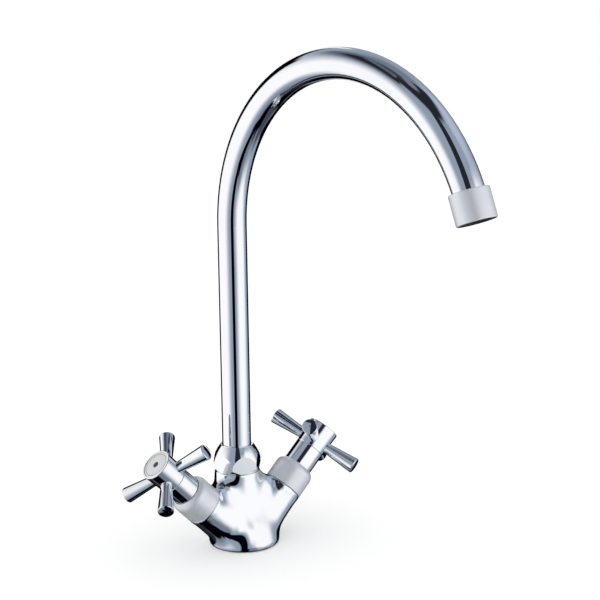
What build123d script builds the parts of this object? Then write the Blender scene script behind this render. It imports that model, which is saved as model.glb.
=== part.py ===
from build123d import *
import os
from math import cos, pi, radians, sin, sqrt, tan

# Deck-mounted kitchen mixer tap with two cross handles and a swivelling swan-neck spout.
# A chromed brass casting stands on a round foot. Two arms rise from it at 45 degrees, each with a
# ceramic-disc headwork under a pale collar, and the spout turns in the neck between them.
# Millimetres, +Z up. The origin is the centre of the foot's underside, the arms point along +X and
# -X, and the spout reaches towards -Y, over the sink. Hot is on the -X side, cold on the +X side.

# Casting: foot, neck and arms
foot_diameter = 47.6
foot_edge_radius = 1.8
neck_diameter = 30.4
neck_height = 51.7
neck_setback = 7.0
arm_diameter = 28.0
arm_root_width = 34.0
arm_root_fullness = 3.2
arm_root_clearance = 1.1
arm_length = 47.2
arm_rise_angle = 45.0
arm_axis_height = 0.35
arm_blend_radius = 11.0
# How the casting swells above the foot and narrows to the neck: shares of the height, of the
# difference in radius and of the setback
casting_stations = [
    (0.0, 1.0, 0.0),
    (0.13, 1.09, 0.015),
    (0.26, 0.93, 0.14),
    (0.47, 0.48, 0.49),
    (0.71, 0.19, 0.84),
    (1.0, 0.0, 1.0),
]
# How an arm changes from its root to its end: shares of its length, of the extra width and of the
# extra fullness of its upper side
arm_stations = [(0.0, 1.0, 1.0), (0.25, 0.6, 0.8), (0.6, 0.13, 0.3), (1.0, 0.0, 0.0)]

# Underside of the foot
recess_diameter = 34.0
recess_depth = 5.0
seal_inner_diameter = 36.5
seal_width = 2.25
seal_thickness = 2.2
hose_spacing = 22.0
hose_bore_diameter = 9.0
hose_bore_depth = 7.0
stud_setforward = 10.0
stud_bore_diameter = 6.8
stud_bore_depth = 12.0
waterway_diameter = 6.4
waterway_spread = 3.6

# Spout nut and the spigot that it screws on
spigot_diameter = 26.4
spigot_height = 8.3
nut_height = 18.0
nut_across_flats = 30.0
nut_top_diameter = 22.6
nut_bottom_diameter = 30.4
nut_bottom_bevel = 2.8
nut_dome_height = 12.2
nut_dome_fullness = 0.61
nut_corner_angle = 46.5
nut_lip_thickness = 6.2

# Spout tube
tube_diameter = 20.0
tube_wall = 1.2
riser_top_height = 223.7
bend_radius = 115.6
bend_sweep = 158.1
spout_rest_angle = 5.6

# Spout tail, which turns in the neck's socket
socket_diameter = 18.0
socket_depth = 27.0
tail_bore_diameter = 12.4
tail_plug_length = 9.0
tail_flange_thickness = 1.2
tail_ring_depths = (12.0, 19.0)
tail_end_gap = 1.5
slip_ring_thickness = 1.2
slip_ring_inset = 0.4
snap_ring_thickness = 1.8
snap_ring_diameter = 24.4
snap_ring_land = 8.0
snap_ring_gap = 5.0

# Outlet: pale collar pressed on the tube's end, with the aerator screwed up inside it. Places are
# measured along the flow from the end of the tube.
collar_start = -6.4
collar_length = 18.95
collar_diameter = 25.2
collar_edge_radius = 0.6
collar_socket_diameter = 20.5
collar_bore_diameter = 22.1
collar_shoulder = 0.1
gasket_thickness = 1.5
gasket_bore_diameter = 17.6
housing_recess = 2.9
housing_wall = 1.1
housing_lip_thickness = 0.9
housing_lip_diameter = 18.2
insert_thickness = 3.4
insert_hole_diameter = 2.2
insert_hole_counts = (6, 12)
insert_hole_radii = (3.4, 6.7)
mesh_thickness = 0.5
mesh_hole_size = 1.5
mesh_pitch = 2.1

# Headwork in each arm
chamber_diameter = 19.0
chamber_depth = 20.2
valve_collar_length = 15.0
valve_collar_bevel = 3.0
valve_collar_shoulder_radius = 5.0
valve_collar_opening = 21.5
valve_collar_wall = 1.8
valve_collar_floor = 2.0
seat_seal_height = 3.0
seat_seal_bore = 8.4
disc_diameter = 14.5
fixed_disc_thickness = 2.4
moving_disc_thickness = 2.6
disc_port_diameter = 4.0
disc_port_offset = 4.3
bonnet_flange_diameter = 23.6
bonnet_flange_thickness = 2.0
bonnet_across_flats = 19.0
bonnet_hex_height = 4.8
bonnet_neck_diameter = 14.0
bonnet_neck_length = 8.0
bonnet_cavity_depth = 8.8
bonnet_window_width = 6.0
bonnet_window_height = 3.2
bonnet_ring_distance = 2.8
spindle_diameter = 8.0
spindle_flange_thickness = 3.6
spindle_ring_offsets = (-3.2, 2.8)
spindle_hub_reach = 7.0
clip_thickness = 0.8
clip_diameter = 12.0
clip_land = 6.4
clip_gap = 3.4

# Cross handles
sleeve_diameter = 20.9
sleeve_wall = 1.85
sleeve_length = 16.7
sleeve_entry = 1.6
hub_length = 17.9
hub_front_diameter = 22.45
hub_rim_radius = 0.5
hub_joint_bevel = 0.25
hub_mouth_bevel = 0.2
hub_spigot_length = 5.0
cross_plane_distance = 6.3
cross_arm_reach = 34.8
cross_arm_root_diameter = 7.6
cross_arm_land = 1.0
cross_arm_tip_diameter = 11.2
cross_arm_tip_dome = 0.7
cross_arm_edge_radius = 0.7
cross_arm_seat = 9.9
cross_arm_spigot_diameter = 5.0
cross_arm_spigot_length = 4.4
cross_arm_count = 4
handle_rest_angles = {"hot": 47.6, "cold": 38.2}
cap_rim_width = 1.375
cap_thickness = 2.0
cap_dome = 0.3
cap_edge_radius = 0.45
cap_recess_depth = 2.2
screw_diameter = 4.0
screw_head_diameter = 7.6
screw_head_height = 3.0
screw_length = 12.0
screw_web_thickness = 3.1
screw_slot_width = 1.0
screw_slot_depth = 1.2

# Clearances: between pieces fixed together, in running fits, and between covers that pass
seat_gap = 0.05
running_gap = 0.06
slip_gap = 0.1
cover_gap = 0.3
ring_section = 1.8
ring_section_small = 1.4
# How far a cut runs past the face that it opens
overrun = 1.0

SIDES = {"hot": -1, "cold": 1}
arm_section_points = 16


# ---------------------------------------------------------------- helpers
def turned(*outline):
    """A solid turned about local Z from an outline of (radius, height) points."""
    return revolve(Plane.XZ * make_face(Polyline(*outline, close=True)), Axis.Z)


def bush(outer_diameter, inner_diameter, bottom, top):
    """A plain ring about local Z between two heights."""
    outer, inner = outer_diameter / 2, inner_diameter / 2
    return turned((inner, bottom), (outer, bottom), (outer, top), (inner, top))


def rod(diameter, bottom, top):
    """A plain cylinder about local Z between two heights."""
    return Pos(0, 0, (bottom + top) / 2) * Cylinder(diameter / 2, top - bottom)


def o_ring(outer_diameter, section, height):
    """A rubber ring of round section, lying in its groove."""
    return Pos(0, 0, height) * Torus(outer_diameter / 2 - section / 2, section / 2)


def groove(outer_diameter, section, height):
    """The square groove that an O-ring lies in, as the solid to cut away."""
    floor_diameter = outer_diameter - 2 * section - 2 * seat_gap
    half_width = section / 2 + 2 * seat_gap
    return bush(outer_diameter + overrun, floor_diameter, height - half_width, height + half_width)


def split_ring(outer_diameter, inner_diameter, bottom, top, gap):
    """A spring ring with a gap, which snaps into a groove."""
    opening = Box(outer_diameter, gap, top - bottom + 2 * overrun)
    opening = Pos(outer_diameter / 2, 0, (bottom + top) / 2) * opening
    return bush(outer_diameter, inner_diameter, bottom, top) - opening


def arm_plane(side):
    """The frame of one arm: local Z out along the arm, local X towards the user."""
    outward = (side * cos(arm_rise), 0, sin(arm_rise))
    return Plane((0, 0, arm_axis_height), x_dir=(0, -1, 0), z_dir=outward)


def on_arm(side, solid):
    return arm_plane(side).location * solid


# Underside
seal_outer_diameter = seal_inner_diameter + 2 * seal_width

# Heights on the neck, from the shoulder up
spigot_top = neck_height + spigot_height
socket_bottom = spigot_top - socket_depth
tail_ring_heights = [spigot_top - depth for depth in tail_ring_depths]
slip_ring_top = spigot_top + slip_ring_thickness
snap_ring_bottom = slip_ring_top + slip_gap
snap_ring_top = snap_ring_bottom + snap_ring_thickness
nut_top = neck_height + nut_height
tail_shoulder = nut_top - nut_lip_thickness + slip_gap
tube_foot = tail_shoulder + tail_flange_thickness

# Places along the outlet
collar_end = collar_start + collar_length
gasket_end = collar_shoulder + gasket_thickness
housing_end = collar_end - housing_recess
insert_diameter = collar_bore_diameter - 2 * housing_wall - 4 * seat_gap

# The cap in the hub's face
cap_diameter = hub_front_diameter - 2 * cap_rim_width

# Places along an arm's axis, from where the two axes meet
arm_rise = radians(arm_rise_angle)
arm_root = (arm_root_clearance - arm_axis_height + arm_diameter / 2 * cos(arm_rise)) / sin(arm_rise)
chamber_bottom = arm_length - chamber_depth
seat_top = chamber_bottom + seat_seal_height
fixed_disc_top = seat_top + seat_gap + fixed_disc_thickness
moving_disc_bottom = fixed_disc_top + seat_gap
moving_disc_top = moving_disc_bottom + moving_disc_thickness
spindle_flange_top = moving_disc_top + spindle_flange_thickness
flange_bottom = arm_length + valve_collar_floor
flange_top = flange_bottom + bonnet_flange_thickness
hex_top = flange_top + bonnet_hex_height
bonnet_top = hex_top + bonnet_neck_length
clip_bottom = bonnet_top + cover_gap
spindle_ring_places = [arm_length + offset for offset in spindle_ring_offsets]
collar_mouth = arm_length + valve_collar_length + valve_collar_bevel
sleeve_start = collar_mouth - sleeve_entry
hub_start = sleeve_start + sleeve_length
hub_front = hub_start + hub_length
cross_plane = hub_start + cross_plane_distance
spindle_end = hub_start + spindle_hub_reach
cap_floor = hub_front - cap_recess_depth
screw_seat = spindle_end + seat_gap + screw_web_thickness


# ---------------------------------------------------------------- casting
def arm_section(half_width, fullness, upper):
    """A cut across an arm: elliptical below, and squarer above by a fullness over 2."""
    points = []
    for step in range(arm_section_points):
        across, along = cos(2 * pi * step / arm_section_points), sin(2 * pi * step / arm_section_points)
        power = fullness if along * upper > 0 else 2
        size = (abs(across) ** power + abs(along) ** power) ** (-1 / power)
        points.append((half_width * across * size, arm_diameter / 2 * along * size))
    return make_face(Spline(*points, periodic=True))


def casting_form():
    """Foot, neck and arms as one cast form, blended where the arms leave it."""
    sections = []
    for height_share, radius_share, setback_share in casting_stations:
        radius = (neck_diameter + (foot_diameter - neck_diameter) * radius_share) / 2
        centre = (0, neck_setback * setback_share, neck_height * height_share)
        sections.append(Plane(centre, x_dir=(0, 1, 0), z_dir=(0, 0, 1)) * Circle(radius))
    trunk = loft(sections)
    trunk = fillet(trunk.edges().group_by(Axis.Z)[0], foot_edge_radius)
    arms = []
    for side in SIDES.values():
        cuts = []
        for length_share, width_share, fullness_share in arm_stations:
            place = arm_root + (arm_length - arm_root) * length_share
            width = arm_diameter + (arm_root_width - arm_diameter) * width_share
            fullness = 2 + (arm_root_fullness - 2) * fullness_share
            cuts.append(Pos(0, 0, place) * arm_section(width / 2, fullness, -side))
        arms.append(on_arm(side, loft(cuts)))
    form = trunk + arms
    return fillet(new_edges(trunk, *arms, combined=form), arm_blend_radius)


def waterway(start, end):
    """A drilled channel between two points."""
    start, end = Vector(*start), Vector(*end)
    axis = Plane(start, z_dir=end - start)
    return axis.location * rod(waterway_diameter, 0, (end - start).length)


def mixer_body():
    """The brass casting with its spigot, socket, valve chambers, waterways and underside."""
    spigot = rod(spigot_diameter, neck_height - overrun, spigot_top)
    body = casting_form() + Pos(0, neck_setback, 0) * spigot
    body -= Pos(0, neck_setback, 0) * rod(socket_diameter, socket_bottom, spigot_top + overrun)
    body -= rod(recess_diameter, -overrun, recess_depth)
    body -= bush(seal_outer_diameter, seal_inner_diameter, -overrun, seal_thickness + seat_gap)
    body -= Pos(0, -stud_setforward, 0) * rod(stud_bore_diameter, 0, recess_depth + stud_bore_depth)
    hose_top = recess_depth + hose_bore_depth
    for side in SIDES.values():
        body -= on_arm(side, rod(chamber_diameter, chamber_bottom, arm_length + overrun))
        hose_x = side * hose_spacing / 2
        body -= Pos(hose_x, 0, 0) * rod(hose_bore_diameter, 0, hose_top)
        # The inlet rises from the hose bore and turns into the middle of the valve seat
        inlet_top = arm_axis_height + (hose_spacing + waterway_diameter) / 2 * tan(arm_rise)
        inlet_top += waterway_diameter / 2
        body -= waterway((hose_x, 0, hose_top - overrun), (hose_x, 0, inlet_top))
        seat_start = (hose_spacing + waterway_diameter / 2) / 2 / cos(arm_rise) + waterway_diameter / 2
        body -= on_arm(side, rod(waterway_diameter, seat_start, chamber_bottom + overrun))
        # The outlet runs from the side of the chamber to the bottom of the neck's socket
        chamber_place = (chamber_bottom + moving_disc_top) / 2
        window_x, window_z = chamber_place * cos(arm_rise), chamber_place * sin(arm_rise)
        window = (side * window_x, 0, arm_axis_height + window_z)
        socket = (side * waterway_spread, neck_setback, socket_bottom + waterway_diameter / 2)
        body -= waterway(window, socket)
    return body


def base_seal():
    """Rubber ring in the foot's groove, flush with the underside."""
    return bush(seal_outer_diameter - seat_gap, seal_inner_diameter + seat_gap, 0, seal_thickness)


# ---------------------------------------------------------------- spout nut
def spout_nut():
    """Domed hexagon nut that holds the spout down and screws on the neck's spigot."""
    corner = nut_across_flats / 2 / cos(pi / 6)
    dome_foot = nut_height - nut_dome_height
    dome_middle = (
        nut_top_diameter / 2 + nut_dome_fullness * (corner - nut_top_diameter / 2),
        dome_foot + nut_dome_height / 2,
    )
    outline = [
        Line((0, 0), (nut_bottom_diameter / 2, 0)),
        Line((nut_bottom_diameter / 2, 0), (corner, nut_bottom_bevel)),
        Line((corner, nut_bottom_bevel), (corner, dome_foot)),
        ThreePointArc((corner, dome_foot), dome_middle, (nut_top_diameter / 2, nut_height)),
        Line((nut_top_diameter / 2, nut_height), (0, nut_height)),
        Line((0, nut_height), (0, 0)),
    ]
    blank = revolve(Plane.XZ * make_face(outline), Axis.Z)
    hexagon = extrude(RegularPolygon(corner, 6, rotation=nut_corner_angle), nut_height)
    thread = rod(spigot_diameter + 2 * seat_gap, -overrun, nut_height - nut_lip_thickness)
    nut = (blank & hexagon) - thread - rod(tube_diameter + 2 * cover_gap, 0, nut_height + overrun)
    return Pos(0, neck_setback, neck_height) * nut


# ---------------------------------------------------------------- spout
spout_place = Pos(0, neck_setback, 0) * Rot(0, 0, spout_rest_angle - 90)


def outlet_plane():
    """The frame at the end of the bend, in the spout's own frame: local Z along the flow."""
    sweep_angle = radians(bend_sweep)
    end = (
        bend_radius * (1 - cos(sweep_angle)),
        0,
        riser_top_height + bend_radius * sin(sweep_angle),
    )
    return Plane(end, x_dir=(0, 1, 0), z_dir=(sin(sweep_angle), 0, cos(sweep_angle)))


def at_outlet(solid):
    return spout_place * outlet_plane().location * solid


def spout_tube():
    """Chromed tube: a straight riser and one long bend, in one piece."""
    section = Circle(tube_diameter / 2) - Circle(tube_diameter / 2 - tube_wall)
    riser = extrude(Pos(0, 0, tube_foot) * section, riser_top_height - tube_foot)
    bend_axis = Axis((bend_radius, 0, riser_top_height), (0, 1, 0))
    bend = revolve(Pos(0, 0, riser_top_height) * section, bend_axis, bend_sweep)
    return spout_place * (riser + bend)


def spout_tail():
    """Brass bush brazed into the riser: it turns in the neck on two O-rings."""
    shaft = socket_diameter - 2 * running_gap
    bottom = socket_bottom + tail_end_gap
    tail = rod(shaft, bottom, tail_shoulder)
    tail += rod(tube_diameter - 2 * seat_gap, tail_shoulder, tube_foot)
    tail += rod(tube_diameter - 2 * tube_wall - 2 * seat_gap, tube_foot, tube_foot + tail_plug_length)
    tail -= bush(shaft + overrun, 2 * snap_ring_land, snap_ring_bottom - seat_gap, snap_ring_top + seat_gap)
    for height in tail_ring_heights:
        tail -= groove(shaft, ring_section, height)
    tail -= rod(tail_bore_diameter, bottom - overrun, tube_foot + tail_plug_length + overrun)
    return spout_place * tail


def spout_tail_o_rings():
    shaft = socket_diameter - 2 * running_gap
    return spout_place * Compound([o_ring(shaft, ring_section, height) for height in tail_ring_heights])


def spout_slip_ring():
    """Plastic washer on top of the neck that the spout turns on."""
    outer = spigot_diameter - 2 * slip_ring_inset
    ring = bush(outer, socket_diameter + 2 * cover_gap, spigot_top, slip_ring_top)
    return Pos(0, neck_setback, 0) * ring


def spout_snap_ring():
    """Split plastic ring in the tail's groove, which the nut's lip holds down."""
    return spout_place * split_ring(
        snap_ring_diameter, 2 * (snap_ring_land + seat_gap), snap_ring_bottom, snap_ring_top, snap_ring_gap
    )


def aerator_collar():
    """Pale sleeve on the tube's end, threaded inside for the aerator."""
    collar = rod(collar_diameter, collar_start, collar_end)
    collar = fillet(collar.edges().filter_by(GeomType.CIRCLE), collar_edge_radius)
    collar -= rod(collar_socket_diameter, collar_start - overrun, collar_end)
    return at_outlet(collar - rod(collar_bore_diameter, collar_shoulder, collar_end + overrun))


def aerator_gasket():
    """Rubber washer between the tube's end and the aerator."""
    ring = bush(collar_bore_diameter - 2 * seat_gap, gasket_bore_diameter, collar_shoulder, gasket_end)
    return at_outlet(ring)


def aerator_housing():
    """Threaded ring that screws into the collar and carries the insert and the mesh on its lip."""
    outer = collar_bore_diameter - 2 * seat_gap
    bore = outer - 2 * housing_wall
    lip = housing_end - housing_lip_thickness
    return at_outlet(
        turned(
            (bore / 2, gasket_end),
            (outer / 2, gasket_end),
            (outer / 2, housing_end),
            (housing_lip_diameter / 2, housing_end),
            (housing_lip_diameter / 2, lip),
            (bore / 2, lip),
        )
    )


def aerator_insert():
    """Plastic jet former: a disc with two rings of holes round a middle one."""
    top = housing_end - housing_lip_thickness - mesh_thickness
    insert = rod(insert_diameter, top - insert_thickness, top)
    hole = rod(insert_hole_diameter, top - insert_thickness - overrun, top + overrun)
    insert -= hole
    for count, radius in zip(insert_hole_counts, insert_hole_radii):
        insert -= [Rot(0, 0, 360 / count * turn) * Pos(radius, 0, 0) * hole for turn in range(count)]
    return at_outlet(insert)


def aerator_mesh():
    """Outlet grille: a thin steel disc of square holes, which lies on the housing's lip."""
    end = housing_end - housing_lip_thickness
    mesh = rod(insert_diameter, end - mesh_thickness, end)
    reach = int(housing_lip_diameter / 2 / mesh_pitch)
    hole = Box(mesh_hole_size, mesh_hole_size, mesh_thickness + 2 * overrun)
    holes = []
    for column in range(-reach, reach + 1):
        for row in range(-reach, reach + 1):
            x, y = column * mesh_pitch, row * mesh_pitch
            if sqrt(x * x + y * y) + mesh_hole_size < housing_lip_diameter / 2:
                holes.append(Pos(x, y, end - mesh_thickness / 2) * hole)
    return at_outlet(mesh - holes)


# ---------------------------------------------------------------- headworks
def valve_collar(side):
    """Pale cup that hides the headwork. Its floor is clamped between the arm and the bonnet."""
    radius = arm_diameter / 2
    opening = valve_collar_opening / 2
    front = collar_mouth - valve_collar_bevel
    bevel_radius = radius - valve_collar_bevel
    cavity_end = front - valve_collar_wall / 2
    collar = turned(
        (chamber_diameter / 2 + seat_gap, arm_length),
        (radius, arm_length),
        (radius, front),
        (bevel_radius, collar_mouth),
        (opening, collar_mouth),
        (opening, cavity_end),
        (radius - valve_collar_wall, cavity_end),
        (radius - valve_collar_wall, flange_bottom),
        (chamber_diameter / 2 + seat_gap, flange_bottom),
    )
    shoulder = collar.edges().filter_by_position(Axis.Z, front - seat_gap, front + seat_gap)
    return on_arm(side, fillet(shoulder, valve_collar_shoulder_radius))


def valve_bonnet(side):
    """Brass headwork body: disc cage and thread inside the arm, flange, hexagon and neck outside."""
    stem = chamber_diameter - 2 * seat_gap
    bonnet = rod(stem, seat_top, flange_bottom)
    bonnet += rod(bonnet_flange_diameter, flange_bottom, flange_top)
    hexagon = RegularPolygon(bonnet_across_flats / 2 / cos(pi / 6), 6)
    bonnet += extrude(Pos(0, 0, flange_top) * hexagon, bonnet_hex_height)
    bonnet += rod(bonnet_neck_diameter, hex_top, bonnet_top)
    bonnet -= rod(disc_diameter + 2 * seat_gap, seat_top - overrun, seat_top + bonnet_cavity_depth)
    bonnet -= rod(spindle_diameter + 2 * running_gap, seat_top, bonnet_top + overrun)
    bonnet -= groove(stem, ring_section, arm_length - bonnet_ring_distance)
    window = Box(chamber_diameter + 2 * overrun, bonnet_window_width, bonnet_window_height)
    bonnet -= Pos(0, 0, fixed_disc_top + bonnet_window_height / 2) * window
    return on_arm(side, bonnet)


def bonnet_o_ring(side):
    stem = chamber_diameter - 2 * seat_gap
    return on_arm(side, o_ring(stem, ring_section, arm_length - bonnet_ring_distance))


def seat_seal(side):
    """Rubber ring between the bottom of the chamber and the fixed disc."""
    return on_arm(side, bush(disc_diameter, seat_seal_bore, chamber_bottom, seat_top))


def disc(bottom, thickness, diameter):
    """Ceramic disc with two ports, one on each side of the middle."""
    solid = rod(diameter, bottom, bottom + thickness)
    port = rod(disc_port_diameter, bottom - overrun, bottom + thickness + overrun)
    return solid - [Pos(place, 0, 0) * port for place in (-disc_port_offset, disc_port_offset)]


def fixed_disc(side):
    return on_arm(side, disc(seat_top + seat_gap, fixed_disc_thickness, disc_diameter))


def moving_disc(side):
    """Turned a quarter from the fixed disc's ports, which is shut."""
    diameter = disc_diameter - 2 * seat_gap
    return on_arm(side, Rot(0, 0, 90) * disc(moving_disc_bottom, moving_disc_thickness, diameter))


def spindle(side):
    """Brass spindle: a flange that drives the moving disc, and a stem that ends in the hub."""
    stem = rod(disc_diameter - 2 * seat_gap, moving_disc_top, spindle_flange_top)
    stem += rod(spindle_diameter, spindle_flange_top, spindle_end)
    for place in spindle_ring_places:
        stem -= groove(spindle_diameter, ring_section_small, place)
    clip_top = clip_bottom + clip_thickness
    stem -= bush(spindle_diameter + overrun, clip_land, clip_bottom - seat_gap, clip_top + seat_gap)
    stem -= rod(screw_diameter + seat_gap, screw_seat - screw_length - overrun, spindle_end + overrun)
    return on_arm(side, stem)


def spindle_o_rings(side):
    rings = [o_ring(spindle_diameter, ring_section_small, place) for place in spindle_ring_places]
    return on_arm(side, Compound(rings))


def spindle_clip(side):
    """Spring clip that keeps the spindle in the bonnet."""
    bore, top = clip_land + 2 * seat_gap, clip_bottom + clip_thickness
    return on_arm(side, split_ring(clip_diameter, bore, clip_bottom, top, clip_gap))


# ---------------------------------------------------------------- cross handles
def handle_sleeve(side):
    """Chromed tube behind the hub. Its open end runs inside the pale collar's mouth."""
    sleeve = bush(sleeve_diameter, sleeve_diameter - 2 * sleeve_wall, sleeve_start, hub_start)
    rim = sleeve.edges().group_by(Axis.Z)[-1].sort_by(SortBy.RADIUS)[-1]
    return on_arm(side, chamfer(rim, hub_joint_bevel))


def cross_arm_places(name):
    """Turns about the handle's axis at which the bars stand."""
    return [handle_rest_angles[name] + 360 / cross_arm_count * step for step in range(cross_arm_count)]


def radial(turn):
    """The frame of one bar: local Z points out from the handle's axis."""
    return Pos(0, 0, cross_plane) * Rot(0, 0, turn) * Rot(0, 90, 0)


def handle_hub(side, name):
    """Chromed hub: it grips the spindle, carries the four bars and holds the index cap."""
    blank = turned(
        (0, hub_start),
        (sleeve_diameter / 2, hub_start),
        (hub_front_diameter / 2, hub_front),
        (0, hub_front),
    )
    blank = chamfer(blank.edges().filter_by(GeomType.CIRCLE).sort_by(Axis.Z)[0], hub_joint_bevel)
    blank = fillet(blank.edges().filter_by(GeomType.CIRCLE).sort_by(Axis.Z)[-1], hub_rim_radius)
    spigot_start = hub_start - hub_spigot_length
    blank += rod(sleeve_diameter - 2 * sleeve_wall - 2 * seat_gap, spigot_start, hub_start)
    blank -= rod(spindle_diameter + 2 * seat_gap, spigot_start - overrun, spindle_end + seat_gap)
    blank -= rod(screw_diameter + 2 * seat_gap, spindle_end, cap_floor)
    blank -= rod(screw_head_diameter + 2 * cover_gap, screw_seat, cap_floor + overrun)
    blank -= rod(cap_diameter + 2 * seat_gap, cap_floor, hub_front + overrun)
    blank = chamfer(blank.edges().group_by(Axis.Z)[-1].sort_by(SortBy.RADIUS)[0], hub_mouth_bevel)
    seat = rod(cross_arm_root_diameter + 2 * seat_gap, cross_arm_seat, hub_front_diameter)
    spigot_hole = rod(
        cross_arm_spigot_diameter + 2 * seat_gap,
        cross_arm_seat - cross_arm_spigot_length - seat_gap,
        cross_arm_seat + overrun,
    )
    for turn in cross_arm_places(name):
        blank -= radial(turn) * seat
        blank -= radial(turn) * spigot_hole
    return on_arm(side, blank)


def domed(solid, diameter, top, dome):
    """The solid with its end rounded off as a shallow spherical dome, its middle at the top."""
    radius = ((diameter / 2) ** 2 + dome**2) / (2 * dome)
    return solid & Pos(0, 0, top - radius) * Sphere(radius)


def cross_arm(side, turn):
    """One flared bar, screwed into the hub by its spigot."""
    bar = turned(
        (0, cross_arm_seat),
        (cross_arm_root_diameter / 2, cross_arm_seat),
        (cross_arm_root_diameter / 2, cross_arm_seat + cross_arm_land),
        (cross_arm_tip_diameter / 2, cross_arm_reach),
        (0, cross_arm_reach),
    )
    bar = domed(bar, cross_arm_tip_diameter, cross_arm_reach, cross_arm_tip_dome)
    rim = bar.edges().filter_by(lambda edge: edge.is_closed).sort_by(Axis.Z)[-1]
    bar = fillet(rim, cross_arm_edge_radius)
    bar += rod(cross_arm_spigot_diameter, cross_arm_seat - cross_arm_spigot_length, cross_arm_seat)
    return on_arm(side, radial(turn) * bar)


def index_cap(side):
    """Pale disc that snaps into the hub's face and hides the screw."""
    top = cap_floor + cap_thickness
    cap = domed(rod(cap_diameter, cap_floor, top), cap_diameter, top, cap_dome)
    rim = cap.edges().filter_by(lambda edge: edge.is_closed).sort_by(Axis.Z)[-1]
    return on_arm(side, fillet(rim, cap_edge_radius))


def handle_screw(side):
    """Slotted screw that holds the hub down on the spindle."""
    screw = rod(screw_diameter, screw_seat - screw_length, screw_seat)
    screw += rod(screw_head_diameter, screw_seat, screw_seat + screw_head_height)
    slot_depth = screw_slot_depth + overrun
    slot = Box(screw_head_diameter + 2 * overrun, screw_slot_width, slot_depth)
    screw -= Pos(0, 0, screw_seat + screw_head_height - screw_slot_depth + slot_depth / 2) * slot
    return on_arm(side, screw)


# ---------------------------------------------------------------- assembly
def all_pieces():
    """Every piece of the tap, by name."""
    pieces = {
        "mixer_body": mixer_body(),
        "base_seal": base_seal(),
        "spout_nut": spout_nut(),
        "spout_slip_ring": spout_slip_ring(),
        "spout_tube": spout_tube(),
        "spout_tail": spout_tail(),
        "spout_tail_o_rings": spout_tail_o_rings(),
        "spout_snap_ring": spout_snap_ring(),
        "aerator_collar": aerator_collar(),
        "aerator_gasket": aerator_gasket(),
        "aerator_housing": aerator_housing(),
        "aerator_insert": aerator_insert(),
        "aerator_mesh": aerator_mesh(),
    }
    for name, side in SIDES.items():
        pieces[f"{name}_valve_collar"] = valve_collar(side)
        pieces[f"{name}_valve_bonnet"] = valve_bonnet(side)
        pieces[f"{name}_bonnet_o_ring"] = bonnet_o_ring(side)
        pieces[f"{name}_seat_seal"] = seat_seal(side)
        pieces[f"{name}_fixed_disc"] = fixed_disc(side)
        pieces[f"{name}_moving_disc"] = moving_disc(side)
        pieces[f"{name}_spindle"] = spindle(side)
        pieces[f"{name}_spindle_o_rings"] = spindle_o_rings(side)
        pieces[f"{name}_spindle_clip"] = spindle_clip(side)
        pieces[f"{name}_handle_sleeve"] = handle_sleeve(side)
        pieces[f"{name}_handle_hub"] = handle_hub(side, name)
        for number, turn in enumerate(cross_arm_places(name), 1):
            pieces[f"{name}_cross_arm_{number}"] = cross_arm(side, turn)
        pieces[f"{name}_index_cap"] = index_cap(side)
        pieces[f"{name}_handle_screw"] = handle_screw(side)
    return pieces


os.makedirs("parts", exist_ok=True)
for piece_name, piece in all_pieces().items():
    export_step(piece, f"parts/{piece_name}.step")
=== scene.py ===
from math import cos, degrees, pi, radians, sin

import bmesh
import bpy
import numpy as np
from mathutils import Matrix, Vector


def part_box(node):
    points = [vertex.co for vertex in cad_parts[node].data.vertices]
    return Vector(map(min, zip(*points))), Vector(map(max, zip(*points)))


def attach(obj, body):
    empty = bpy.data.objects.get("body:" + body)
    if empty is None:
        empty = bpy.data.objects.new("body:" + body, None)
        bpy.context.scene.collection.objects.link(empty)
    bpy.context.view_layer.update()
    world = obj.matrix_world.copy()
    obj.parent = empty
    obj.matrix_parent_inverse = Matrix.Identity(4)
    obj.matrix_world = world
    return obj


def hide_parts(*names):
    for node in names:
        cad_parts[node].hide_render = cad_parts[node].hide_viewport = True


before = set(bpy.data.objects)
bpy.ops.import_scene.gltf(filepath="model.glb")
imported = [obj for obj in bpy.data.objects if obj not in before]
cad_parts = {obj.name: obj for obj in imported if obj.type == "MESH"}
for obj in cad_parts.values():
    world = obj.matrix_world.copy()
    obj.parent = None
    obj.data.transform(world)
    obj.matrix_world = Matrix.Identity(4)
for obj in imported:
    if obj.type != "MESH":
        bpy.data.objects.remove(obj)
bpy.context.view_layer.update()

# ---------------------------------------------------------------------------
# Viewpoint
# A long lens looks down a little, from higher than the bend and from the left of the spout, so that
# both cross handles and the whole swan neck show, with the outlet coming forward to the right.
# ---------------------------------------------------------------------------
CAMERA_PLACE = Vector((-0.66116, -1.01481, 0.45114))
CAMERA_YAW = radians(-35.03)
CAMERA_TILT = radians(77.018)
CAMERA_ROLL = radians(-0.77)
LENS_MM = 110.116
SENSOR_MM = 36.0
CLIP_NEAR = 0.05
CLIP_FAR = 20.0

scene = bpy.context.scene
scene.view_settings.view_transform = "Standard"
lens = bpy.data.cameras.new("product_camera")
lens.lens = LENS_MM
lens.sensor_width = SENSOR_MM
lens.clip_start = CLIP_NEAR
lens.clip_end = CLIP_FAR
camera = bpy.data.objects.new("product_camera", lens)
scene.collection.objects.link(camera)
camera.matrix_world = (
    Matrix.Translation(CAMERA_PLACE)
    @ Matrix.Rotation(CAMERA_YAW, 4, "Z")
    @ Matrix.Rotation(CAMERA_TILT, 4, "X")
    @ Matrix.Rotation(CAMERA_ROLL, 4, "Z")
)
scene.camera = camera

# ---------------------------------------------------------------------------
# White studio
# The faucet is shot in an all-white room. Its walls show behind it and light its matt surfaces, at a
# level where a colour comes out as it is written. Its chrome mirrors the light tent instead.
# ---------------------------------------------------------------------------
WALL_LEVEL = 1.0
ROOM_LIGHT = 0.92
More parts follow.
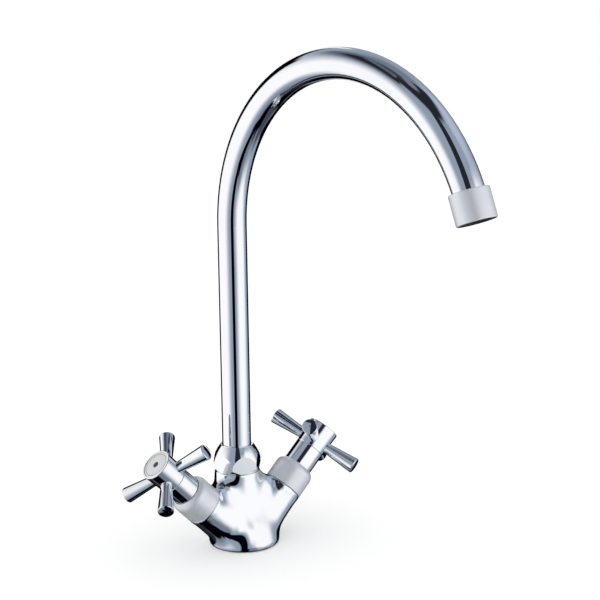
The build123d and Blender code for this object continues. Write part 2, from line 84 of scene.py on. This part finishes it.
# The sockets for colours in a Mix node, which come after those for numbers and vectors
MIX_SHARE, MIX_FIRST, MIX_SECOND, MIX_RESULT = 0, 6, 7, 2


class Shade:
    """A node tree, or one output in it. Sums, products and comparisons add Math nodes to the tree."""

    def __init__(self, tree, socket=None):
        self.tree, self.socket = tree, socket

    def node(self, kind, settings=None, sockets=None, out=0):
        """Adds a node, sets it up, fills or links its sockets by name or number, and gives one output."""
        made = self.tree.nodes.new(kind)
        for name, value in (settings or {}).items():
            setattr(made, name, value)
        for name, value in (sockets or {}).items():
            if isinstance(value, Shade):
                self.tree.links.new(value.socket, made.inputs[name])
            else:
                made.inputs[name].default_value = value
        return Shade(self.tree, made.outputs[out] if len(made.outputs) else None)

    def maths(self, operation, *others):
        """A Math node on this output and the other values that its operation takes, if any."""
        return self.node("ShaderNodeMath", {"operation": operation}, dict(enumerate((self, *others))))

    def mix(self, first, second):
        """Two colours mixed, where this output is the share of the second."""
        sockets = {MIX_SHARE: self, MIX_FIRST: first, MIX_SECOND: second}
        return self.node("ShaderNodeMix", {"data_type": "RGBA"}, sockets, MIX_RESULT)

    def between(self, low, high):
        """This output, which runs from 0 to 1, stretched to run from low to high."""
        return self * (high - low) + low

    def __add__(self, other):
        return self.maths("ADD", other)

    __radd__ = __add__

    def __mul__(self, other):
        return self.maths("MULTIPLY", other)

    __rmul__ = __mul__

    def __sub__(self, other):
        return self.maths("SUBTRACT", other)

    def __rsub__(self, other):
        return self.node("ShaderNodeMath", {"operation": "SUBTRACT"}, {0: other, 1: self})

    def __lt__(self, other):
        return self.maths("LESS_THAN", other)

    def __gt__(self, other):
        return self.maths("GREATER_THAN", other)


def empty_tree(owner):
    """The node tree of a material or world, with nothing in it."""
    owner.use_nodes = True
    owner.node_tree.nodes.clear()
    return Shade(owner.node_tree)


world = bpy.data.worlds.new("white_studio")
scene.world = world
tree = empty_tree(world)
camera_ray, glossy_ray, through_ray = [
    tree.node("ShaderNodeLightPath", out=f"Is {ray} Ray") for ray in ("Camera", "Glossy", "Transmission")
]
shown = camera_ray.maths("MAXIMUM", glossy_ray.maths("MAXIMUM", through_ray))
walls = tree.node(
    "ShaderNodeBackground",
    None,
    {"Color": (1, 1, 1, 1), "Strength": shown.between(ROOM_LIGHT, WALL_LEVEL)},
)
tree.node("ShaderNodeOutputWorld", None, {"Surface": walls})

# ---------------------------------------------------------------------------
# Light tent
# Chrome shows only what stands round it, so a tent of grey cloth hides the room from it. Panels on
# the cloth are a soft box on each side, the flags that draw the dark outlines of the chrome, and the
# dark gap that the lens looks in through.
# ---------------------------------------------------------------------------
TENT_RADIUS = 1.0
TENT_HEIGHT = 0.15
TENT_SEGMENTS = 72
BOX_LEVEL = 1.07
BLACK = (0.0, 0.0, 0.002, 1)
INK = (0.018, 0.02, 0.026, 1)
SOOT = (0.05, 0.06, 0.08, 1)
CHARCOAL = (0.11, 0.13, 0.17, 1)
SLATE = (0.17, 0.20, 0.25, 1)
CLOTH = (0.28, 0.335, 0.42, 1)
PALE = (0.42, 0.49, 0.60, 1)
WHITE = (1, 1, 1, 1)
# Each panel gives its two bearings, in degrees from the lens towards the right of the picture, and
# how far its sides fade, then its two heights, in degrees above the middle of the tent, how far its
# ends fade, and its colour. It lies over the panels before it. Bearings past 180 and heights past 90
# carry it over the seam at the back or the pole, so that it has no edge there.
PANELS = (
    # The roof
    (-200, 200, 10, 62, 95, 20, SLATE),
    (-150, -62, 16, 46, 95, 16, CHARCOAL),
    (-128, -56, 6, 55, 68, 6, INK),
    (-130, -20, 20, 76, 95, 6, SOOT),
    (-60, 110, 6, 62, 79, 5, INK),
    # The floor
    (-200, 200, 10, -95, -58, 16, SLATE),
    (-200, 200, 10, -95, -70, 6, BLACK),
    (85, 200, 16, -95, -50, 16, SOOT),
    (146, 200, 12, -95, -42, 14, BLACK),
    (-200, -124, 14, -95, -30, 14, INK),
    (-28, 60, 10, -95, -60, 10, BLACK),
    (15, 50, 16, -66, -30, 16, SLATE),
    # The soft boxes, first the dim top of the right one, then the left one and the right one
    (64, 130, 16, 34, 60, 16, PALE),
    (-146, -56, 44, -10, 34, 40, WHITE),
    (-146, -40, 44, -37, 12, 28, WHITE),
    (48, 90, 34, -38, 12, 28, WHITE),
    (34, 102, 34, -24, 18, 20, WHITE),
    (21, 80, 12, -3, 28, 16, WHITE),
    (60, 96, 34, -3, 28, 18, WHITE),
    (48, 70, 18, 20, 34, 14, WHITE),
    # The flags at the back, with a lit strip between them
    (-177, -128, 8, -50, 36, 5, BLACK),
    (129, 177, 8, -42, 18, 5, BLACK),
    (177, 200, 4, -18, 42, 4, WHITE),
    (-200, -177, 4, -18, 42, 4, WHITE),
    # The gap for the lens
    (-9, 13, 4, -38, 33, 4, BLACK),
    (-9, 22, 4, 26, 66, 4, INK),
    (-12, 20, 5, -80, -36, 5, BLACK),
)

tent_mesh = bmesh.new()
bmesh.ops.create_uvsphere(
    tent_mesh, u_segments=TENT_SEGMENTS, v_segments=TENT_SEGMENTS // 2, radius=TENT_RADIUS
)
tent_cloth = bpy.data.meshes.new("light_tent")
tent_mesh.to_mesh(tent_cloth)
tent_mesh.free()
tent = bpy.data.objects.new("light_tent", tent_cloth)
scene.collection.objects.link(tent)
tent.location.z = TENT_HEIGHT
tent.rotation_euler.z = CAMERA_YAW
tent.visible_camera = False
tent.visible_diffuse = False
tent.visible_shadow = False


def band(value, low, high, edge):
    """A mask that is 1 between two values and fades to 0 over an edge at each of them."""
    half = edge / 2
    smooth = {"interpolation_type": "SMOOTHSTEP"}
    rise = {"Value": value, "From Min": low - half, "From Max": low + half}
    fall = {"Value": value, "From Min": high + half, "From Max": high - half}
    risen = value.node("ShaderNodeMapRange", smooth, rise)
    return risen * value.node("ShaderNodeMapRange", smooth, fall)


def axes(tree):
    """The three coordinates of a point of the piece, in metres."""
    place = tree.node("ShaderNodeTexCoord", out="Object")
    return [tree.node("ShaderNodeSeparateXYZ", None, {"Vector": place}, axis) for axis in "XYZ"]


painted = bpy.data.materials.new("painted_tent")
tree = empty_tree(painted)
painted.cycles.emission_sampling = "NONE"
x, y, z = axes(tree)
bearing = x.maths("ARCTAN2", 0 - y) * degrees(1)
height = (z * (1 / TENT_RADIUS)).maths("ARCSINE") * degrees(1)
paint = CLOTH
for left, right, side_fade, bottom, top, end_fade, colour in PANELS:
    panel = band(bearing, left, right, side_fade) * band(height, bottom, top, end_fade)
    paint = panel.mix(paint, colour)
cloth = tree.node("ShaderNodeEmission", None, {"Color": paint, "Strength": BOX_LEVEL})
tree.node("ShaderNodeOutputMaterial", None, {"Surface": cloth})
tent_cloth.materials.append(painted)

# ---------------------------------------------------------------------------
# Table top
# The faucet stands on a plain white board. The board glows a little for the lens, so that it is as
# white as the wall behind it and keeps only the shadow under the foot. Chrome mirrors the tent's
# floor in its place.
# ---------------------------------------------------------------------------
TABLE_SIDE = 3.0
TABLE_CELLS = 8
TABLE_ROUGHNESS = 0.7
TABLE_GLOW = 0.14

table_mesh = bmesh.new()
bmesh.ops.create_grid(table_mesh, x_segments=TABLE_CELLS, y_segments=TABLE_CELLS, size=TABLE_SIDE / 2)
table_top = bpy.data.meshes.new("table_top")
table_mesh.to_mesh(table_top)
table_mesh.free()
table = bpy.data.objects.new("table_top", table_top)
scene.collection.objects.link(table)
table.visible_glossy = False

white_board = bpy.data.materials.new("white_board")
tree = empty_tree(white_board)
lens_ray = tree.node("ShaderNodeLightPath", out="Is Camera Ray")
board = tree.node(
    "ShaderNodeBsdfPrincipled",
    None,
    {
        "Base Color": (1, 1, 1, 1),
        "Roughness": TABLE_ROUGHNESS,
        "Specular IOR Level": 0.0,
        "Emission Color": (1, 1, 1, 1),
        "Emission Strength": lens_ray * TABLE_GLOW,
    },
)
tree.node("ShaderNodeOutputMaterial", None, {"Surface": board})
table_top.materials.append(white_board)

# ---------------------------------------------------------------------------
# Mixer body
# One brass casting, ground and polished all over and chrome plated, with the slight waviness that
# hand polishing leaves. Its underside is machined after plating, so bare turned brass shows there.
# ---------------------------------------------------------------------------
CHROME = (0.90, 0.91, 0.93, 1)
CHROME_DARK = (0.86, 0.875, 0.90, 1)
BRASS = (0.78, 0.57, 0.27, 1)
BRASS_DARK = (0.62, 0.43, 0.19, 1)
# Clouds and waves are given as features to the metre and how fine their detail is
CHROME_CLOUDS = (25, 2)
BRASS_CLOUDS = (180, 4)
POLISH_CLOUDS = (60, 4)
POLISH_WAVES = (45, 2)
CLOUD_LOW, CLOUD_HIGH = 0.3, 0.7
CASTING_ROUGHNESS = (0.012, 0.035)
BARE_ROUGHNESS = 0.24
CASTING_RELIEF = 0.00002
FACING_PITCH = 0.0004
FACING_SHARE = 0.1
PLATED_ABOVE = 0.0004
UNDERSIDE_RADIUS = 0.0172
UNDERSIDE_DEPTH = 0.0175


def noise(tree, scale, detail):
    """Cloudy variation from 0 to 1 with features about 1 / scale metres across."""
    place = tree.node("ShaderNodeTexCoord", out="Object")
    cloud = tree.node("ShaderNodeTexNoise", None, {"Vector": place, "Scale": scale, "Detail": detail})
    stretch = {"Value": cloud, "From Min": CLOUD_LOW, "From Max": CLOUD_HIGH}
    return tree.node("ShaderNodeMapRange", None, stretch)


def waves(distance, pitch):
    """Even ripples from 0 to 1, one to each pitch of a distance."""
    return (distance * (2 * pi / pitch)).maths("SINE") * 0.5 + 0.5


def finish(tree, label, sockets, relief, depth):
    """Closes a material with a surface shader, over a relief of the given depth in metres."""
    bump = tree.node("ShaderNodeBump", None, {"Height": relief, "Distance": depth})
    skin = tree.node("ShaderNodeBsdfPrincipled", {"label": label}, {**sockets, "Normal": bump})
    tree.node("ShaderNodeOutputMaterial", None, {"Surface": skin})


def dress(material, *names):
    """Gives pieces of the frame their material."""
    for name in names:
        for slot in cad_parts[name].material_slots:
            slot.material = material


plated_casting = bpy.data.materials.new("polished_casting")
tree = empty_tree(plated_casting)
x, y, z = axes(tree)
radius = (x * x + y * y).maths("SQRT")
bored = (radius < UNDERSIDE_RADIUS) * (z < UNDERSIDE_DEPTH)
bare = bored.maths("MAXIMUM", z < PLATED_ABOVE)
chrome_colour = noise(tree, *CHROME_CLOUDS).mix(CHROME, CHROME_DARK)
brass_colour = noise(tree, *BRASS_CLOUDS).mix(BRASS, BRASS_DARK)
sockets = {
    "Base Color": bare.mix(chrome_colour, brass_colour),
    "Metallic": 1.0,
    "Roughness": noise(tree, *POLISH_CLOUDS).between(*CASTING_ROUGHNESS) + bare * BARE_ROUGHNESS,
}
turning = waves(radius, FACING_PITCH) * bare * FACING_SHARE
relief = noise(tree, *POLISH_WAVES) * (1 - bare) + turning
finish(tree, "polished_casting", sockets, relief, CASTING_RELIEF)

# Grinding and polishing round off the casting between its machined ends: the underside, the top of
# the neck and the ends of the arms. Each pair gives the height, or the distance along an arm, where
# the light grinding of an end starts to grow and where it is full.
GRIND_CELL = 0.0007
GRIND_PASSES = 200
GRIND_PRESSURE = 0.9
LIGHT_GRIND = 0.03
FOOT_FADE = (0.003, 0.009)
NECK_FADE = (0.050, 0.044)
ARM_FADE = (0.0455, 0.038)
# The axis of each arm rises at 45 degrees from a point just over the middle of the foot, and the
# neck stands a little behind it
ARM_SLOPE = cos(radians(45))
AXES_MEET = 0.00035
NECK_SETBACK = 0.007
# The neck's socket, the valve chambers, the bores of the underside and its face aren't ground at all
SOCKET_RADIUS = 0.0132
CHAMBER_RADIUS = 0.0112
CHAMBER_START = 0.0265
UNDERSIDE_KEPT = 0.0002
CASTING_CREASE = radians(40)


def ease(values, start, end):
    """A smooth rise from 0 at the start value to 1 at the end value."""
    share = np.clip((values - start) / (end - start), 0, 1)
    return share * share * (3 - 2 * share)


casting = bpy.data.objects.new("polished_casting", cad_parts["mixer_body"].data.copy())
scene.collection.objects.link(casting)
remesh = casting.modifiers.new("cells", "REMESH")
remesh.mode = "VOXEL"
remesh.voxel_size = GRIND_CELL
cells = casting.evaluated_get(bpy.context.evaluated_depsgraph_get())
ground = bpy.data.meshes.new_from_object(cells)
casting.modifiers.clear()
casting.data = ground

points = np.empty(3 * len(ground.vertices))
ground.vertices.foreach_get("co", points)
points = points.reshape(-1, 3)
ends = np.empty(2 * len(ground.edges), dtype=np.int64)
ground.edges.foreach_get("vertices", ends)
ends = ends.reshape(-1, 2)
starts = np.concatenate([ends[:, 0], ends[:, 1]])
others = np.concatenate([ends[:, 1], ends[:, 0]])
neighbours = np.bincount(starts, minlength=len(points))

x, y, z = points.T
along = (np.abs(x) + z - AXES_MEET) * ARM_SLOPE
off_arm = np.hypot(y, (np.abs(x) - z + AXES_MEET) * ARM_SLOPE)
off_neck = np.hypot(x, y - NECK_SETBACK)
reach = ease(z, *FOOT_FADE) * ease(z, *NECK_FADE) * ease(along, *ARM_FADE)
reach = np.maximum(reach, LIGHT_GRIND)
inside = (off_neck < SOCKET_RADIUS) | ((off_arm < CHAMBER_RADIUS) & (along > CHAMBER_START))
inside |= (np.hypot(x, y) < UNDERSIDE_RADIUS) & (z < UNDERSIDE_DEPTH)
reach[inside | (z < UNDERSIDE_KEPT)] = 0


def rubbed(values):
    """Values at the points, evened out over their neighbours where the grinding reaches."""
    for _ in range(GRIND_PASSES):
        mean = np.stack([np.bincount(starts, axis[others], len(values)) for axis in values.T], 1)
        values = values + GRIND_PRESSURE * reach[:, None] * (mean / neighbours[:, None] - values)
    return values


# What the first rubbing takes off everywhere alike is put back, so that the arms keep their size
rounded = rubbed(points)
points = rounded + rubbed(points - rounded)
ground.vertices.foreach_set("co", points.ravel())
ground.shade_smooth()
ground.set_sharp_from_angle(angle=CASTING_CREASE)
ground.materials.clear()
ground.materials.append(plated_casting)
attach(casting, "mixer")
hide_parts("mixer_body")
dress(plated_casting, "mixer_body")

# ---------------------------------------------------------------------------
# Rubber seals
# Black moulded nitrile: the foot's seal ring, which lies in its groove against the sink, the valves'
# seat seals and O-rings, the spout's two O-rings and the aerator's flat gasket.
# ---------------------------------------------------------------------------
SIDES = ("hot", "cold")
RUBBER = (0.018, 0.018, 0.019, 1)
RUBBER_BLOOM = (0.05, 0.05, 0.052, 1)


def mottled(name, tones, tone_clouds, roughness, gloss_clouds, grain, depth, metallic=0.0):
    """A plain material in two tones, with a range of roughness and a fine grain of a given depth."""
    material = bpy.data.materials.new(name)
    tree = empty_tree(material)
    sockets = {
        "Base Color": noise(tree, *tone_clouds).mix(*tones),
        "Metallic": metallic,
        "Roughness": noise(tree, *gloss_clouds).between(*roughness),
    }
    finish(tree, name, sockets, noise(tree, *grain), depth)
    return material


nitrile = mottled(
    "black_nitrile",
    tones=(RUBBER, RUBBER_BLOOM),
    tone_clouds=(300, 5),
    roughness=(0.45, 0.65),
    gloss_clouds=(700, 3),
    grain=(4000, 2),
    depth=0.00001,
)
dress(nitrile, "base_seal", "spout_tail_o_rings", "aerator_gasket")
for side in SIDES:
    dress(nitrile, f"{side}_bonnet_o_ring", f"{side}_seat_seal", f"{side}_spindle_o_rings")

# ---------------------------------------------------------------------------
# Brass headwork
# Each arm holds a bonnet, screwed down on its flange, and the spindle that turns in it, and the riser
# has a tail soldered in it. All are turned from bar, so fine tool lines run round them.
# ---------------------------------------------------------------------------
TURNED_ROUGHNESS = (0.2, 0.34)
TURNED_CLOUDS = (90, 4)
TOOL_PITCH = 0.00035
TOOL_DEPTH = 0.000002


def along_arm(tree):
    """How far a point is along the axis of the arm that it is on, from where the two axes meet."""
    x, _, z = axes(tree)
    return (x.maths("ABSOLUTE") + z - AXES_MEET) * ARM_SLOPE


def turned_brass(name, distance):
    """Bright brass with tool lines round it, by a function that gives the distance along the piece."""
    brass = bpy.data.materials.new(name)
    tree = empty_tree(brass)
    sockets = {
        "Base Color": noise(tree, *BRASS_CLOUDS).mix(BRASS, BRASS_DARK),
        "Metallic": 1.0,
        "Roughness": noise(tree, *TURNED_CLOUDS).between(*TURNED_ROUGHNESS),
    }
    finish(tree, name, sockets, waves(distance(tree), TOOL_PITCH), TOOL_DEPTH)
    return brass


arm_brass = turned_brass("headwork_brass", along_arm)
for side in SIDES:
    dress(arm_brass, f"{side}_valve_bonnet", f"{side}_spindle")
dress(turned_brass("tail_brass", lambda tree: axes(tree)[2]), "spout_tail")

# ---------------------------------------------------------------------------
# Ceramic discs
# Two lapped alumina discs close each valve. The lower one is keyed in the bonnet and the upper one
# turns with the spindle.
# ---------------------------------------------------------------------------
ALUMINA = (0.84, 0.83, 0.79, 1)
ALUMINA_DARK = (0.76, 0.74, 0.69, 1)

alumina = mottled(
    "lapped_alumina",
    tones=(ALUMINA, ALUMINA_DARK),
    tone_clouds=(900, 4),
    roughness=(0.12, 0.25),
    gloss_clouds=(400, 3),
    grain=(3000, 2),
    depth=0.000003,
)
for side in SIDES:
    dress(alumina, f"{side}_fixed_disc", f"{side}_moving_disc")

# ---------------------------------------------------------------------------
# Steel clips, screws, mesh and aerator ring
# Stainless spring clips keep the spindles in and a slotted screw holds each hub. In the outlet, a
# threaded ring of blackened steel carries the aerator's insert and its stainless mesh.
# ---------------------------------------------------------------------------
STEEL = (0.56, 0.57, 0.58, 1)
STEEL_DARK = (0.44, 0.45, 0.47, 1)
BLACKENED = (0.10, 0.10, 0.105, 1)
BLACKENED_DARK = (0.05, 0.05, 0.055, 1)


def steel(name, *tones):
    """Drawn or pressed steel in two tones."""
    return mottled(
        name,
        tones,
        tone_clouds=(220, 4),
        roughness=(0.22, 0.38),
        gloss_clouds=(500, 3),
        grain=(2500, 3),
        depth=0.000003,
        metallic=1.0,
    )


stainless = steel("stainless", STEEL, STEEL_DARK)
dress(stainless, "aerator_mesh")
dress(steel("blackened_steel", BLACKENED, BLACKENED_DARK), "aerator_housing")
for side in SIDES:
    dress(stainless, f"{side}_spindle_clip", f"{side}_handle_screw")

# ---------------------------------------------------------------------------
# Nylon rings
# The spout turns on a slip ring and is kept down by a snap ring, both of white nylon, and the water
# leaves through a moulded insert of the same.
# ---------------------------------------------------------------------------
NYLON = (0.80, 0.79, 0.74, 1)
NYLON_PALE = (0.86, 0.85, 0.81, 1)

white_nylon = mottled(
    "white_nylon",
    tones=(NYLON, NYLON_PALE),
    tone_clouds=(150, 3),
    roughness=(0.35, 0.48),
    gloss_clouds=(500, 3),
    grain=(2500, 2),
    depth=0.000008,
)
dress(white_nylon, "spout_slip_ring", "spout_snap_ring", "aerator_insert")

# ---------------------------------------------------------------------------
# Valve collars and aerator collar
# Pale rings of brass with a satin chrome plate, brushed round their axis before plating. Two hide
# the headwork's flanges on the arms, and one is pressed on the end of the spout. The bore of that one
# is painted dark, as painted shade in the recess.
# ---------------------------------------------------------------------------
SATIN = (0.80, 0.82, 0.86, 1)
SATIN_DARK = (0.76, 0.78, 0.82, 1)
SATIN_CLOUDS = (60, 3)
SATIN_METALLIC = 0.5
SATIN_ROUGHNESS = (0.36, 0.44)
SATIN_WEAR = (250, 4)
BRUSH_CLOUDS = (400, 3)
BRUSH_PITCH = 0.00022
BRUSH_DEPTH = 0.000001
# The bore's near-black colour is painted shade, not a colour of the plate
BORE_PAINTED_SHADE = (0.05, 0.052, 0.055, 1)
BORE_RADIUS = 0.0118
# The spout rests a few degrees past straight ahead, and its tube is bent down from upright
STRAIGHT_AHEAD = -90
SPOUT_REST = 5.6
OUTLET_TURN = radians(SPOUT_REST + STRAIGHT_AHEAD)
OUTLET_FALL = radians(158.1)

outlet_middle = sum(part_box("aerator_collar"), Vector()) / 2
flow = Vector((
    sin(OUTLET_FALL) * cos(OUTLET_TURN),
    sin(OUTLET_FALL) * sin(OUTLET_TURN),
    cos(OUTLET_FALL),
))


def from_outlet(tree):
    """A point's distance along the flow and from its axis, going by the middle of the collar."""
    place = tree.node("ShaderNodeTexCoord", out="Object")
    offset = tree.node("ShaderNodeVectorMath", {"operation": "SUBTRACT"}, {0: place, 1: outlet_middle})
    along = tree.node("ShaderNodeVectorMath", {"operation": "DOT_PRODUCT"}, {0: offset, 1: flow}, "Value")
    length = tree.node("ShaderNodeVectorMath", {"operation": "LENGTH"}, {0: offset}, "Value")
    return along, (length * length - along * along).maths("SQRT")


def satin_plate(name, distance, painted_shade=None):
    """Satin chrome with brush lines, by functions that give the distance along and where shade is painted.
    """
    plate = bpy.data.materials.new(name)
    tree = empty_tree(plate)
    colour = noise(tree, *SATIN_CLOUDS).mix(SATIN, SATIN_DARK)
    # Where the mask says, painted shade takes the place of the plate's colour
    if painted_shade:
        colour = painted_shade(tree).mix(colour, BORE_PAINTED_SHADE)
    sockets = {
        "Base Color": colour,
        "Metallic": SATIN_METALLIC,
        "Roughness": noise(tree, *SATIN_WEAR).between(*SATIN_ROUGHNESS),
    }
    brushed = waves(distance(tree), BRUSH_PITCH) * noise(tree, *BRUSH_CLOUDS)
    finish(tree, name, sockets, brushed, BRUSH_DEPTH)
    return plate


dress(satin_plate("satin_arm_collar", along_arm), "hot_valve_collar", "cold_valve_collar")
# The collar's bore, within BORE_RADIUS of the outlet's axis, is painted dark as painted shade
outlet_plate = satin_plate(
    "satin_outlet_collar",
    lambda tree: from_outlet(tree)[0],
    lambda tree: from_outlet(tree)[1] < BORE_RADIUS,
)
dress(outlet_plate, "aerator_collar")

# ---------------------------------------------------------------------------
# Spout nut
# A brass hexagon nut with its top turned to a dome, polished and mirror plated. It screws on the
# neck and holds the spout down.
# ---------------------------------------------------------------------------
LEAST_HAZE = 0.4


def chrome_plate(name, waves_to_metre, wave_depth, haze):
    """Mirror chrome, whose polish leaves waves and a haze that is thinner in places."""
    return mottled(
        name,
        tones=(CHROME, CHROME_DARK),
        tone_clouds=CHROME_CLOUDS,
        roughness=(LEAST_HAZE * haze, haze),
        gloss_clouds=POLISH_CLOUDS,
        grain=(waves_to_metre, 2),
        depth=wave_depth,
        metallic=1.0,
    )


plated_nut = chrome_plate("plated_nut", waves_to_metre=80, wave_depth=0.000006, haze=0.03)
dress(plated_nut, "spout_nut")

# ---------------------------------------------------------------------------
# Spout tube
# Drawn brass tube, bent in one sweep from the riser over to the outlet, then polished and mirror
# plated. Its waves are longer than those of the small turned pieces.
# ---------------------------------------------------------------------------
plated_tube = chrome_plate("plated_tube", waves_to_metre=30, wave_depth=0.000008, haze=0.025)
dress(plated_tube, "spout_tube")

# ---------------------------------------------------------------------------
# Cross handles
# On each spindle sits a hub with four flared bars screwed into it, and behind it a plain sleeve over
# the headwork. All are turned from brass bar, polished and mirror plated.
# ---------------------------------------------------------------------------
BARS = range(1, 5)

plated_handle = chrome_plate("plated_handle", waves_to_metre=80, wave_depth=0.000005, haze=0.03)
for side in SIDES:
    dress(plated_handle, f"{side}_handle_sleeve", f"{side}_handle_hub")
    for number in BARS:
        dress(plated_handle, f"{side}_cross_arm_{number}")
        # The other chrome doesn't mirror the bars, which keeps it as calm as in a retouched picture
        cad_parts[f"{side}_cross_arm_{number}"].visible_glossy = False

# ---------------------------------------------------------------------------
# Index caps
# Pale satin discs with a white rim, set off by a fine groove with painted shade in it, snapped into
# the hubs. A printed mark tells the sides apart: a filled dot on the hot one and an open ring on the
# cold one, each a raised film of dark paint.
# ---------------------------------------------------------------------------
CAP_GREY = (0.70, 0.71, 0.73, 1)
CAP_PALE = (0.75, 0.76, 0.78, 1)
CAP_CLOUDS = (120, 3)
CAP_ROUGHNESS = (0.28, 0.4)
CAP_WEAR = (500, 3)
CAP_GRAIN = (3000, 2)
GRAIN_SHARE = 0.06
RIM_WHITE = (0.84, 0.85, 0.86, 1)
RIM_WIDTH = 0.0012
# The groove's dark colour is painted shade; the groove is also cut as a shallow relief
GROOVE_PAINTED_SHADE = (0.07, 0.075, 0.085, 1)
GROOVE_WIDTH = 0.0003
GROOVE_EDGE = GROOVE_WIDTH / 4
GROOVE_DEPTH = 0.00005
MARK_GREY = (0.035, 0.035, 0.04, 1)
MARK_FLECK = (0.06, 0.06, 0.065, 1)
MARK_RADIUS = 0.0021
MARK_HOLE = 0.0013
MARK_RISE = 0.00012
MARK_SINK = 0.0002
MARK_EDGE = 0.00005
MARK_STEPS = 48
MARK_CREASE = radians(35)

cap_film = bpy.data.materials.new("satin_cap")
tree = empty_tree(cap_film)
cap_low, cap_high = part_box("hot_index_cap")
film_radius = (cap_high.y - cap_low.y) / 2 - RIM_WIDTH
x, y, z = axes(tree)
across = (x.maths("ABSOLUTE") - z + AXES_MEET) * ARM_SLOPE
radius = (across * across + y * y).maths("SQRT")
groove = band(radius, film_radius - GROOVE_WIDTH, film_radius, GROOVE_EDGE)
film_colour = noise(tree, *CAP_CLOUDS).mix(CAP_GREY, CAP_PALE)
sockets = {
    # The groove is coloured dark as painted shade, and the rim outside it is white
    "Base Color": groove.mix((radius > film_radius).mix(film_colour, RIM_WHITE), GROOVE_PAINTED_SHADE),
    "Roughness": noise(tree, *CAP_WEAR).between(*CAP_ROUGHNESS),
}
finish(tree, "satin_cap", sockets, noise(tree, *CAP_GRAIN) * GRAIN_SHARE - groove, GROOVE_DEPTH)

mark_paint = mottled(
    "mark_paint",
    tones=(MARK_GREY, MARK_FLECK),
    tone_clouds=(900, 3),
    roughness=(0.35, 0.5),
    gloss_clouds=(700, 3),
    grain=(5000, 2),
    depth=0.000003,
)


def turned(name, outline, place):
    """A mesh turned about its own Z from a closed outline of (radius, height) points."""
    shape = bmesh.new()
    rings = []
    for radius, height in outline:
        count = MARK_STEPS if radius > 0 else 1
        turns = [2 * pi * step / MARK_STEPS for step in range(count)]
        rings.append([shape.verts.new((radius * cos(turn), radius * sin(turn), height)) for turn in turns])
    for lower, upper in zip(rings, rings[1:] + rings[:1]):
        for step in range(MARK_STEPS):
            corners = [ring[(step + shift) % len(ring)] for ring, shift in
                       ((lower, 0), (lower, 1), (upper, 1), (upper, 0))]
            # On the axis, two corners are one point
            corners = list(dict.fromkeys(corners))
            if len(corners) > 2:
                shape.faces.new(corners)
    bmesh.ops.recalc_face_normals(shape, faces=shape.faces)
    mesh = bpy.data.meshes.new(name)
    shape.to_mesh(mesh)
    shape.free()
    mesh.shade_smooth()
    mesh.set_sharp_from_angle(angle=MARK_CREASE)
    piece = bpy.data.objects.new(name, mesh)
    scene.collection.objects.link(piece)
    piece.matrix_world = place
    return piece


for side, sign, hole in (("hot", -1, 0.0), ("cold", 1, MARK_HOLE)):
    dress(cap_film, f"{side}_index_cap")
    outward = Vector((sign * ARM_SLOPE, 0, ARM_SLOPE))
    middle = Vector((0, 0, AXES_MEET))
    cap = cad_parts[f"{side}_index_cap"].data
    face = max(outward.dot(corner.co - middle) for corner in cap.vertices)
    facing = outward.to_track_quat("Z", "Y").to_matrix().to_4x4()
    place = Matrix.Translation(middle + outward * face) @ facing
    outline = [
        (hole, -MARK_SINK),
        (MARK_RADIUS, -MARK_SINK),
        (MARK_RADIUS, MARK_RISE - MARK_EDGE),
        (MARK_RADIUS - MARK_EDGE, MARK_RISE),
        (hole + (MARK_EDGE if hole else 0), MARK_RISE),
    ]
    if hole:
        outline.append((hole, MARK_RISE - MARK_EDGE))
    mark = turned(f"{side}_index_mark", outline, place)
    mark.data.materials.append(mark_paint)
    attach(mark, f"{side}_handle")
